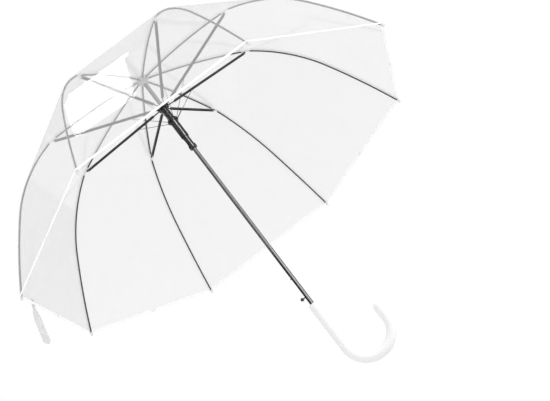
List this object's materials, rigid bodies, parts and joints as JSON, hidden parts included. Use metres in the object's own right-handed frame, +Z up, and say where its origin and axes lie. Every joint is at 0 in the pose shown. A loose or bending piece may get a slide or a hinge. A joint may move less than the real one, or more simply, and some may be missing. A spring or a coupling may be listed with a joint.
{
  "type": "bubble umbrella",
  "caption": "Deep dome umbrella with a clear film canopy, a folding steel frame on a sliding runner, a pale hooked handle and a release button.",
  "frame": {"origin": "centre of the straight part of the grip", "axes": "+Z up the shaft to the crown, +X towards the hook's tip, -X towards the release button"},
  "size_m": [0.8614, 0.8344, 0.8531],
  "materials": {
    "clear_film": "clear glossy film",
    "strap_film": "frosted film",
    "handle_plastic": "glossy, slightly milky",
    "pale_plastic": "satin",
    "black_plastic": "satin",
    "grey_plastic": "satin",
    "button_plastic": "satin",
    "steel": "polished",
    "spring_steel": "dark satin",
    "rib_enamel": "satin",
    "stretcher_enamel": "satin"
  },
  "bodies": {
    "root": {"shaft": "steel", "stop_pin": "steel", "crown_notch": "grey_plastic", "crown_ring_wire": "steel", "crown_cap": "pale_plastic", "top_tube": "handle_plastic", "top_cap": "handle_plastic", "handle": "handle_plastic", "canopy": "clear_film"},
    "runner": {"runner": "black_plastic", "runner_grip": "black_plastic", "runner_end_ring": "black_plastic", "opening_spring": "spring_steel"},
    "spring_ring": {"spring_ring": "black_plastic"},
    "release_button": {"release_button": "button_plastic"},
    "strap_tab": {"strap_tab": "strap_film"},
    "tie_strap": {"tie_strap": "strap_film", "strap_snap": "pale_plastic"},
    "rib_inner_0": {"rib_inner_0": "rib_enamel"},
    "rib_mid_0": {"rib_mid_0": "rib_enamel"},
    "rib_tip_0": {"rib_tip_0": "rib_enamel"},
    "stretcher_0": {"stretcher_0": "stretcher_enamel"},
    "wire_0": {"wire_0": "spring_steel"},
    "rib_inner_1": {"rib_inner_1": "rib_enamel"},
    "rib_mid_1": {"rib_mid_1": "rib_enamel"},
    "rib_tip_1": {"rib_tip_1": "rib_enamel"},
    "stretcher_1": {"stretcher_1": "stretcher_enamel"},
    "wire_1": {"wire_1": "spring_steel"},
    "rib_inner_2": {"rib_inner_2": "rib_enamel"},
    "rib_mid_2": {"rib_mid_2": "rib_enamel"},
    "rib_tip_2": {"rib_tip_2": "rib_enamel"},
    "stretcher_2": {"stretcher_2": "stretcher_enamel"},
    "wire_2": {"wire_2": "spring_steel"},
    "rib_inner_3": {"rib_inner_3": "rib_enamel"},
    "rib_mid_3": {"rib_mid_3": "rib_enamel"},
    "rib_tip_3": {"rib_tip_3": "rib_enamel"},
    "stretcher_3": {"stretcher_3": "stretcher_enamel"},
    "wire_3": {"wire_3": "spring_steel"},
    "rib_inner_4": {"rib_inner_4": "rib_enamel"},
    "rib_mid_4": {"rib_mid_4": "rib_enamel"},
    "rib_tip_4": {"rib_tip_4": "rib_enamel"},
    "stretcher_4": {"stretcher_4": "stretcher_enamel"},
    "wire_4": {"wire_4": "spring_steel"},
    "rib_inner_5": {"rib_inner_5": "rib_enamel"},
    "rib_mid_5": {"rib_mid_5": "rib_enamel"},
    "rib_tip_5": {"rib_tip_5": "rib_enamel"},
    "stretcher_5": {"stretcher_5": "stretcher_enamel"},
    "wire_5": {"wire_5": "spring_steel"},
    "rib_inner_6": {"rib_inner_6": "rib_enamel"},
    "rib_mid_6": {"rib_mid_6": "rib_enamel"},
    "rib_tip_6": {"rib_tip_6": "rib_enamel"},
    "stretcher_6": {"stretcher_6": "stretcher_enamel"},
    "wire_6": {"wire_6": "spring_steel"},
    "rib_inner_7": {"rib_inner_7": "rib_enamel"},
    "rib_mid_7": {"rib_mid_7": "rib_enamel"},
    "rib_tip_7": {"rib_tip_7": "rib_enamel"},
    "stretcher_7": {"stretcher_7": "stretcher_enamel"},
    "wire_7": {"wire_7": "spring_steel"}
  },
  "joints": [
    {"name": "runner_slide", "type": "slide", "parent": "root", "child": "runner", "axis": [0, 0, -1], "range_m": [0, 0.36474], "stiffness_N_per_m": 110, "springref_m": -0.13, "deforming": ["canopy", "opening_spring"]},
    {"name": "spring_ring_slide", "type": "slide", "parent": "runner", "child": "spring_ring", "axis": [0, 0, 1], "range_m": [0, 0.02196]},
    {"name": "release_push", "type": "slide", "parent": "root", "child": "release_button", "axis": [1, 0, 0], "range_m": [0, 0.003], "stiffness_N_per_m": 800, "springref_m": -0.001},
    {"name": "rib_inner_hinge_0", "type": "hinge", "parent": "root", "child": "rib_inner_0", "pos_m": [0.01016, 0.00421, 0.667], "axis": [-0.3827, 0.9239, 0], "range_deg": [0, 78.21]},
    {"name": "rib_mid_hinge_0", "type": "hinge", "parent": "rib_inner_0", "child": "rib_mid_0", "pos_m": [0.22173, 0.09184, 0.62414], "axis": [0.3827, -0.9239, 0], "range_deg": [0, 30.21]},
    {"name": "rib_tip_hinge_0", "type": "hinge", "parent": "rib_mid_0", "child": "rib_tip_0", "pos_m": [0.33692, 0.13956, 0.51189], "axis": [0.3827, -0.9239, 0], "range_deg": [0, 21.01]},
    {"name": "stretcher_hinge_0", "type": "hinge", "parent": "rib_inner_0", "child": "stretcher_0", "pos_m": [0.21345, 0.08841, 0.62199], "axis": [0.3827, -0.9239, 0], "range_deg": [0, 158.64]},
    {"name": "wire_hinge_0", "type": "hinge", "parent": "stretcher_0", "child": "wire_0", "pos_m": [0.07212, 0.02987, 0.59615], "axis": [-0.3827, 0.9239, 0], "range_deg": [0, 28.01]},
    {"name": "rib_inner_hinge_1", "type": "hinge", "parent": "root", "child": "rib_inner_1", "pos_m": [0.00421, 0.01016, 0.667], "axis": [-0.9239, 0.3827, 0], "range_deg": [0, 78.21]},
    {"name": "rib_mid_hinge_1", "type": "hinge", "parent": "rib_inner_1", "child": "rib_mid_1", "pos_m": [0.09184, 0.22173, 0.62414], "axis": [0.9239, -0.3827, 0], "range_deg": [0, 30.21]},
    {"name": "rib_tip_hinge_1", "type": "hinge", "parent": "rib_mid_1", "child": "rib_tip_1", "pos_m": [0.13956, 0.33692, 0.51189], "axis": [0.9239, -0.3827, 0], "range_deg": [0, 21.01]},
    {"name": "stretcher_hinge_1", "type": "hinge", "parent": "rib_inner_1", "child": "stretcher_1", "pos_m": [0.08841, 0.21345, 0.62199], "axis": [0.9239, -0.3827, 0], "range_deg": [0, 158.64]},
    {"name": "wire_hinge_1", "type": "hinge", "parent": "stretcher_1", "child": "wire_1", "pos_m": [0.02987, 0.07212, 0.59615], "axis": [-0.9239, 0.3827, 0], "range_deg": [0, 28.01]},
    {"name": "rib_inner_hinge_2", "type": "hinge", "parent": "root", "child": "rib_inner_2", "pos_m": [-0.00421, 0.01016, 0.667], "axis": [-0.9239, -0.3827, 0], "range_deg": [0, 78.21]},
    {"name": "rib_mid_hinge_2", "type": "hinge", "parent": "rib_inner_2", "child": "rib_mid_2", "pos_m": [-0.09184, 0.22173, 0.62414], "axis": [0.9239, 0.3827, 0], "range_deg": [0, 30.21]},
    {"name": "rib_tip_hinge_2", "type": "hinge", "parent": "rib_mid_2", "child": "rib_tip_2", "pos_m": [-0.13956, 0.33692, 0.51189], "axis": [0.9239, 0.3827, 0], "range_deg": [0, 21.01]},
    {"name": "stretcher_hinge_2", "type": "hinge", "parent": "rib_inner_2", "child": "stretcher_2", "pos_m": [-0.08841, 0.21345, 0.62199], "axis": [0.9239, 0.3827, 0], "range_deg": [0, 158.64]},
    {"name": "wire_hinge_2", "type": "hinge", "parent": "stretcher_2", "child": "wire_2", "pos_m": [-0.02987, 0.07212, 0.59615], "axis": [-0.9239, -0.3827, 0], "range_deg": [0, 28.01]},
    {"name": "rib_inner_hinge_3", "type": "hinge", "parent": "root", "child": "rib_inner_3", "pos_m": [-0.01016, 0.00421, 0.667], "axis": [-0.3827, -0.9239, 0], "range_deg": [0, 78.21]},
    {"name": "rib_mid_hinge_3", "type": "hinge", "parent": "rib_inner_3", "child": "rib_mid_3", "pos_m": [-0.22173, 0.09184, 0.62414], "axis": [0.3827, 0.9239, 0], "range_deg": [0, 30.21]},
    {"name": "rib_tip_hinge_3", "type": "hinge", "parent": "rib_mid_3", "child": "rib_tip_3", "pos_m": [-0.33692, 0.13956, 0.51189], "axis": [0.3827, 0.9239, 0], "range_deg": [0, 21.01]},
    {"name": "stretcher_hinge_3", "type": "hinge", "parent": "rib_inner_3", "child": "stretcher_3", "pos_m": [-0.21345, 0.08841, 0.62199], "axis": [0.3827, 0.9239, 0], "range_deg": [0, 158.64]},
    {"name": "wire_hinge_3", "type": "hinge", "parent": "stretcher_3", "child": "wire_3", "pos_m": [-0.07212, 0.02987, 0.59615], "axis": [-0.3827, -0.9239, 0], "range_deg": [0, 28.01]},
    {"name": "rib_inner_hinge_4", "type": "hinge", "parent": "root", "child": "rib_inner_4", "pos_m": [-0.01016, -0.00421, 0.667], "axis": [0.3827, -0.9239, 0], "range_deg": [0, 78.21]},
    {"name": "rib_mid_hinge_4", "type": "hinge", "parent": "rib_inner_4", "child": "rib_mid_4", "pos_m": [-0.22173, -0.09184, 0.62414], "axis": [-0.3827, 0.9239, 0], "range_deg": [0, 30.21]},
    {"name": "rib_tip_hinge_4", "type": "hinge", "parent": "rib_mid_4", "child": "rib_tip_4", "pos_m": [-0.33692, -0.13956, 0.51189], "axis": [-0.3827, 0.9239, 0], "range_deg": [0, 21.01]},
    {"name": "stretcher_hinge_4", "type": "hinge", "parent": "rib_inner_4", "child": "stretcher_4", "pos_m": [-0.21345, -0.08841, 0.62199], "axis": [-0.3827, 0.9239, 0], "range_deg": [0, 158.64]},
    {"name": "wire_hinge_4", "type": "hinge", "parent": "stretcher_4", "child": "wire_4", "pos_m": [-0.07212, -0.02987, 0.59615], "axis": [0.3827, -0.9239, 0], "range_deg": [0, 28.01]},
    {"name": "rib_inner_hinge_5", "type": "hinge", "parent": "root", "child": "rib_inner_5", "pos_m": [-0.00421, -0.01016, 0.667], "axis": [0.9239, -0.3827, 0], "range_deg": [0, 78.21]},
    {"name": "rib_mid_hinge_5", "type": "hinge", "parent": "rib_inner_5", "child": "rib_mid_5", "pos_m": [-0.09184, -0.22173, 0.62414], "axis": [-0.9239, 0.3827, 0], "range_deg": [0, 30.21]},
    {"name": "rib_tip_hinge_5", "type": "hinge", "parent": "rib_mid_5", "child": "rib_tip_5", "pos_m": [-0.13956, -0.33692, 0.51189], "axis": [-0.9239, 0.3827, 0], "range_deg": [0, 21.01]},
    {"name": "stretcher_hinge_5", "type": "hinge", "parent": "rib_inner_5", "child": "stretcher_5", "pos_m": [-0.08841, -0.21345, 0.62199], "axis": [-0.9239, 0.3827, 0], "range_deg": [0, 158.64]},
    {"name": "wire_hinge_5", "type": "hinge", "parent": "stretcher_5", "child": "wire_5", "pos_m": [-0.02987, -0.07212, 0.59615], "axis": [0.9239, -0.3827, 0], "range_deg": [0, 28.01]},
    {"name": "rib_inner_hinge_6", "type": "hinge", "parent": "root", "child": "rib_inner_6", "pos_m": [0.00421, -0.01016, 0.667], "axis": [0.9239, 0.3827, 0], "range_deg": [0, 78.21]},
    {"name": "rib_mid_hinge_6", "type": "hinge", "parent": "rib_inner_6", "child": "rib_mid_6", "pos_m": [0.09184, -0.22173, 0.62414], "axis": [-0.9239, -0.3827, 0], "range_deg": [0, 30.21]},
    {"name": "rib_tip_hinge_6", "type": "hinge", "parent": "rib_mid_6", "child": "rib_tip_6", "pos_m": [0.13956, -0.33692, 0.51189], "axis": [-0.9239, -0.3827, 0], "range_deg": [0, 21.01]},
    {"name": "stretcher_hinge_6", "type": "hinge", "parent": "rib_inner_6", "child": "stretcher_6", "pos_m": [0.08841, -0.21345, 0.62199], "axis": [-0.9239, -0.3827, 0], "range_deg": [0, 158.64]},
    {"name": "wire_hinge_6", "type": "hinge", "parent": "stretcher_6", "child": "wire_6", "pos_m": [0.02987, -0.07212, 0.59615], "axis": [0.9239, 0.3827, 0], "range_deg": [0, 28.01]},
    {"name": "rib_inner_hinge_7", "type": "hinge", "parent": "root", "child": "rib_inner_7", "pos_m": [0.01016, -0.00421, 0.667], "axis": [0.3827, 0.9239, 0], "range_deg": [0, 78.21]},
    {"name": "rib_mid_hinge_7", "type": "hinge", "parent": "rib_inner_7", "child": "rib_mid_7", "pos_m": [0.22173, -0.09184, 0.62414], "axis": [-0.3827, -0.9239, 0], "range_deg": [0, 30.21]},
    {"name": "rib_tip_hinge_7", "type": "hinge", "parent": "rib_mid_7", "child": "rib_tip_7", "pos_m": [0.33692, -0.13956, 0.51189], "axis": [-0.3827, -0.9239, 0], "range_deg": [0, 21.01]},
    {"name": "stretcher_hinge_7", "type": "hinge", "parent": "rib_inner_7", "child": "stretcher_7", "pos_m": [0.21345, -0.08841, 0.62199], "axis": [-0.3827, -0.9239, 0], "range_deg": [0, 158.64]},
    {"name": "wire_hinge_7", "type": "hinge", "parent": "stretcher_7", "child": "wire_7", "pos_m": [0.07212, -0.02987, 0.59615], "axis": [0.3827, 0.9239, 0], "range_deg": [0, 28.01]},
    {"name": "strap_tab_slide", "type": "slide", "parent": "rib_tip_4", "child": "strap_tab", "axis": [0, -1, 0], "range_m": [0, 0.06661]},
    {"name": "strap_swing", "type": "hinge", "parent": "strap_tab", "child": "tie_strap", "pos_m": [-0.4183, -0.11371, 0.34846], "axis": [0, 1, 0], "range_deg": [0, 60], "stiffness_Nm_per_rad": 0.01}
  ],
  "couplings": [
    {"joint": "spring_ring_slide", "follows": "runner_slide", "ratio": 0.060169},
    {"joint": "rib_inner_hinge_0", "follows": "runner_slide", "rad_per_m": 3.742},
    {"joint": "rib_mid_hinge_0", "follows": "runner_slide", "rad_per_m": 1.4451},
    {"joint": "rib_tip_hinge_0", "follows": "runner_slide", "rad_per_m": 1.0049},
    {"joint": "stretcher_hinge_0", "follows": "runner_slide", "rad_per_m": 7.5909},
    {"joint": "wire_hinge_0", "follows": "runner_slide", "rad_per_m": 1.3399},
    {"joint": "rib_inner_hinge_1", "follows": "runner_slide", "rad_per_m": 3.742},
    {"joint": "rib_mid_hinge_1", "follows": "runner_slide", "rad_per_m": 1.4451},
    {"joint": "rib_tip_hinge_1", "follows": "runner_slide", "rad_per_m": 1.0049},
    {"joint": "stretcher_hinge_1", "follows": "runner_slide", "rad_per_m": 7.5909},
    {"joint": "wire_hinge_1", "follows": "runner_slide", "rad_per_m": 1.3399},
    {"joint": "rib_inner_hinge_2", "follows": "runner_slide", "rad_per_m": 3.742},
    {"joint": "rib_mid_hinge_2", "follows": "runner_slide", "rad_per_m": 1.4451},
    {"joint": "rib_tip_hinge_2", "follows": "runner_slide", "rad_per_m": 1.0049},
    {"joint": "stretcher_hinge_2", "follows": "runner_slide", "rad_per_m": 7.5909},
    {"joint": "wire_hinge_2", "follows": "runner_slide", "rad_per_m": 1.3399},
    {"joint": "rib_inner_hinge_3", "follows": "runner_slide", "rad_per_m": 3.742},
    {"joint": "rib_mid_hinge_3", "follows": "runner_slide", "rad_per_m": 1.4451},
    {"joint": "rib_tip_hinge_3", "follows": "runner_slide", "rad_per_m": 1.0049},
    {"joint": "stretcher_hinge_3", "follows": "runner_slide", "rad_per_m": 7.5909},
    {"joint": "wire_hinge_3", "follows": "runner_slide", "rad_per_m": 1.3399},
    {"joint": "rib_inner_hinge_4", "follows": "runner_slide", "rad_per_m": 3.742},
    {"joint": "rib_mid_hinge_4", "follows": "runner_slide", "rad_per_m": 1.4451},
    {"joint": "rib_tip_hinge_4", "follows": "runner_slide", "rad_per_m": 1.0049},
    {"joint": "stretcher_hinge_4", "follows": "runner_slide", "rad_per_m": 7.5909},
    {"joint": "wire_hinge_4", "follows": "runner_slide", "rad_per_m": 1.3399},
    {"joint": "rib_inner_hinge_5", "follows": "runner_slide", "rad_per_m": 3.742},
    {"joint": "rib_mid_hinge_5", "follows": "runner_slide", "rad_per_m": 1.4451},
    {"joint": "rib_tip_hinge_5", "follows": "runner_slide", "rad_per_m": 1.0049},
    {"joint": "stretcher_hinge_5", "follows": "runner_slide", "rad_per_m": 7.5909},
    {"joint": "wire_hinge_5", "follows": "runner_slide", "rad_per_m": 1.3399},
    {"joint": "rib_inner_hinge_6", "follows": "runner_slide", "rad_per_m": 3.742},
    {"joint": "rib_mid_hinge_6", "follows": "runner_slide", "rad_per_m": 1.4451},
    {"joint": "rib_tip_hinge_6", "follows": "runner_slide", "rad_per_m": 1.0049},
    {"joint": "stretcher_hinge_6", "follows": "runner_slide", "rad_per_m": 7.5909},
    {"joint": "wire_hinge_6", "follows": "runner_slide", "rad_per_m": 1.3399},
    {"joint": "rib_inner_hinge_7", "follows": "runner_slide", "rad_per_m": 3.742},
    {"joint": "rib_mid_hinge_7", "follows": "runner_slide", "rad_per_m": 1.4451},
    {"joint": "rib_tip_hinge_7", "follows": "runner_slide", "rad_per_m": 1.0049},
    {"joint": "stretcher_hinge_7", "follows": "runner_slide", "rad_per_m": 7.5909},
    {"joint": "wire_hinge_7", "follows": "runner_slide", "rad_per_m": 1.3399},
    {"joint": "strap_tab_slide", "follows": "runner_slide", "ratio": 0.1826}
  ]
}
